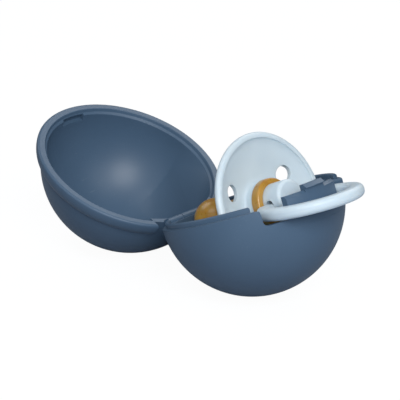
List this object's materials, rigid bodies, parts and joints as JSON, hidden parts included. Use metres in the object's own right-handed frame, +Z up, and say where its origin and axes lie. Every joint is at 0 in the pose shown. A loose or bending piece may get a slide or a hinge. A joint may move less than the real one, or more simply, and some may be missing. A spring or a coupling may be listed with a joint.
{
  "type": "pacifier sterilizer case",
  "caption": "Ball-shaped two-part case, hinged open on a table, with a latch post and a front window for the ring of the pacifier that lies in it.",
  "frame": {"origin": "middle of the open case's bounding box, at the height of the table that both halves stand on", "axes": "+Z up, +X from the open lid towards the base's latch, +Y along the hinge"},
  "size_m": [0.125, 0.0642, 0.053],
  "materials": {
    "case_plastic": "fine satin moulded polypropylene, slate blue",
    "soother_plastic": "satin moulded polypropylene, pale ice blue",
    "natural_rubber": "smooth translucent amber latex"
  },
  "bodies": {
    "base": {"base_shell": "case_plastic", "hinge_pin": "case_plastic"},
    "lid": {"lid_shell": "case_plastic"},
    "pacifier": {"pacifier_shield": "soother_plastic", "pacifier_nipple": "natural_rubber", "pacifier_knob": "soother_plastic"},
    "ring": {"pacifier_ring": "soother_plastic"}
  },
  "joints": [
    {"name": "lid_hinge", "type": "hinge", "parent": "base", "child": "lid", "pos_m": [-0.00519, 0, 0.01863], "axis": [0, 1, 0], "range_deg": [0, 134.2]},
    {"name": "pacifier_lift", "type": "slide", "parent": "base", "child": "pacifier", "axis": [-0.3891, 0, 0.9212], "range_m": [0, 0.07]},
    {"name": "ring_swing", "type": "hinge", "parent": "pacifier", "child": "ring", "pos_m": [0.0348, 0, 0.03282], "axis": [0, 1, 0], "range_deg": [-3.5, 0.5]}
  ]
}
